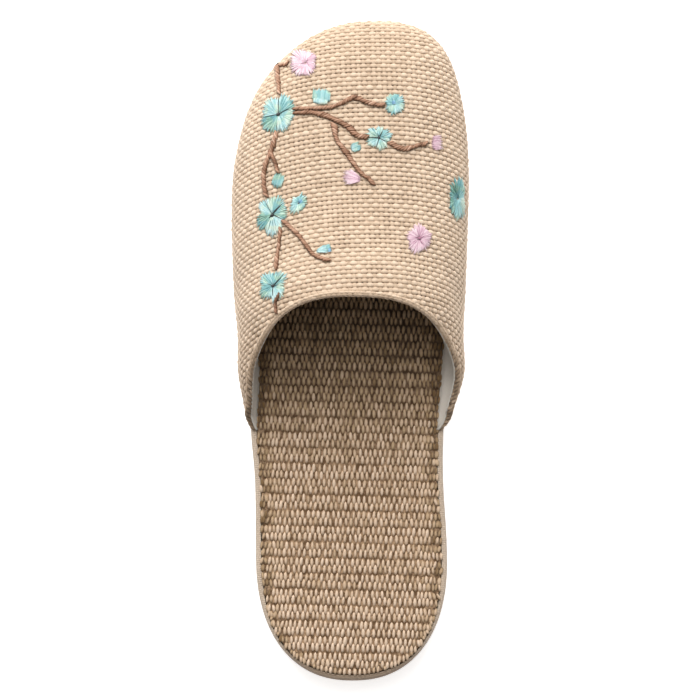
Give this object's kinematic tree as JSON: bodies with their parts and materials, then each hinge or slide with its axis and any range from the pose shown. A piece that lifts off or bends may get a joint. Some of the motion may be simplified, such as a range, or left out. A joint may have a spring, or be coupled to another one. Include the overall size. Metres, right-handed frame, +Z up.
{
  "type": "house slipper",
  "caption": "Left indoor mule slipper with a closed rounded toe, open heel, woven linen upper with blossom-branch embroidery, ribbed woven insole and a low foam platform.",
  "frame": {"origin": "on the floor, under the middle of the slipper's outer box", "axes": "+Y towards the toe, +X towards the inner (big toe) side, +Z up, the slipper standing on its sole"},
  "size_m": [0.094, 0.26, 0.063],
  "materials": {
    "outsole": "matte moulded sheet with shallow tread",
    "midsole": "closed-cell foam",
    "midsole_cover": "smooth beige cloth, wrapped and turned in",
    "insole": "coarse two-tone basket weave of tan yarn with dark gaps",
    "upper": "coarse plain-woven natural linen with coloured embroidery and a pale lining"
  },
  "bodies": {
    "root": {"outsole": "outsole", "midsole": "midsole", "midsole_cover": "midsole_cover", "insole": "insole", "upper": "upper"}
  },
  "joints": []
}
